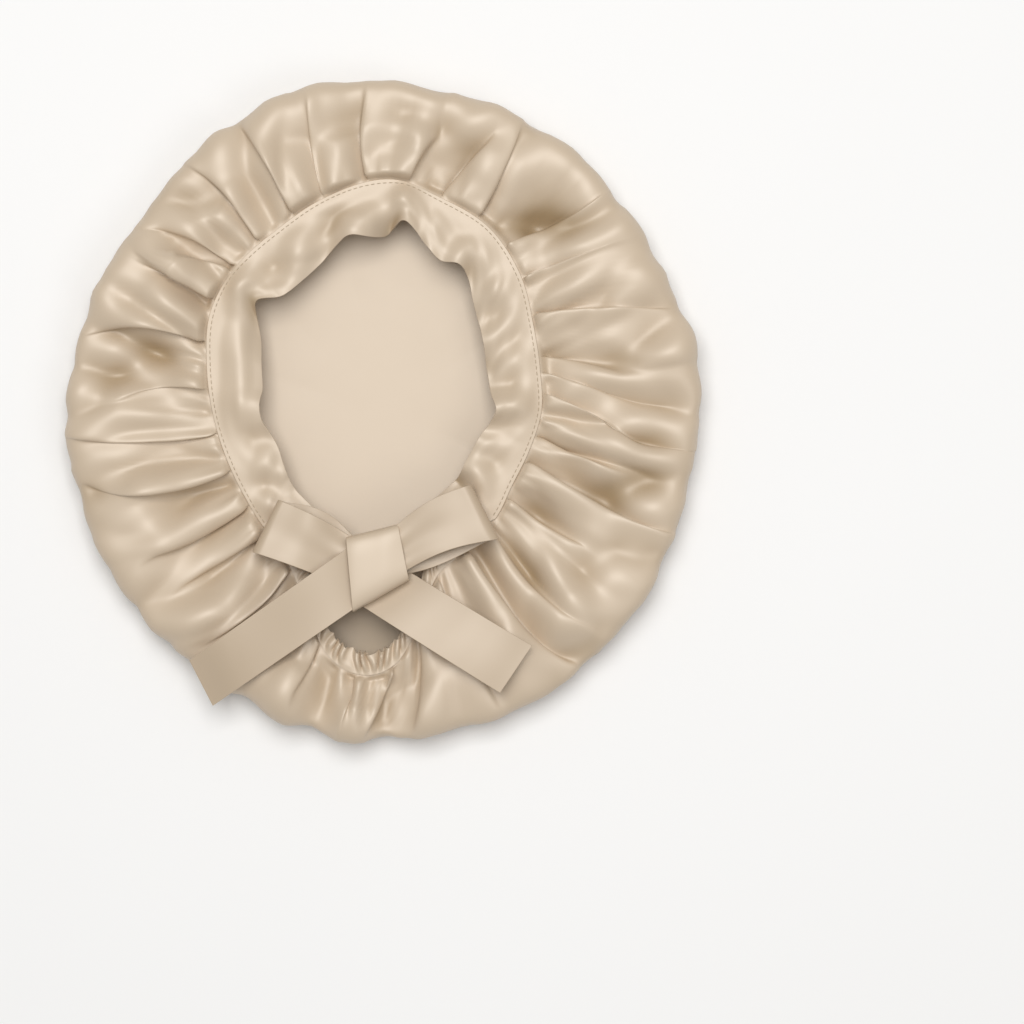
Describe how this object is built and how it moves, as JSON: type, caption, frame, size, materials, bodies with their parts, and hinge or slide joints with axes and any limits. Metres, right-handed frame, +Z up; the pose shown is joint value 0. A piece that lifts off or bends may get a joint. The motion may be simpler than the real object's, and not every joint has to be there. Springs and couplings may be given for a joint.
{
  "type": "sleep bonnet",
  "caption": "Satin sleep bonnet lying on its crown: gathered round crown, topstitched ruffled band, elastic casing at the nape and a ribbon bow tied over it",
  "frame": {"origin": "middle of the flat underside that the crown rests on, at floor level, midway between the sides of the crown", "axes": "+Z up out of the mouth, +Y to the front of the head, -Y to the nape and the bow, +X to the right seen from above"},
  "size_m": [0.3171, 0.3285, 0.037],
  "materials": {
    "crown_satin": "champagne satin, soft sheen",
    "band_satin": "champagne satin, doubled and topstitched",
    "ribbon_satin": "champagne satin ribbon"
  },
  "bodies": {
    "root": {"crown": "crown_satin", "band": "band_satin", "elastic_casing": "band_satin", "bow_knot": "ribbon_satin", "bow_loop_left": "ribbon_satin", "bow_loop_right": "ribbon_satin", "bow_tail_left": "ribbon_satin", "bow_tail_right": "ribbon_satin"}
  },
  "joints": []
}
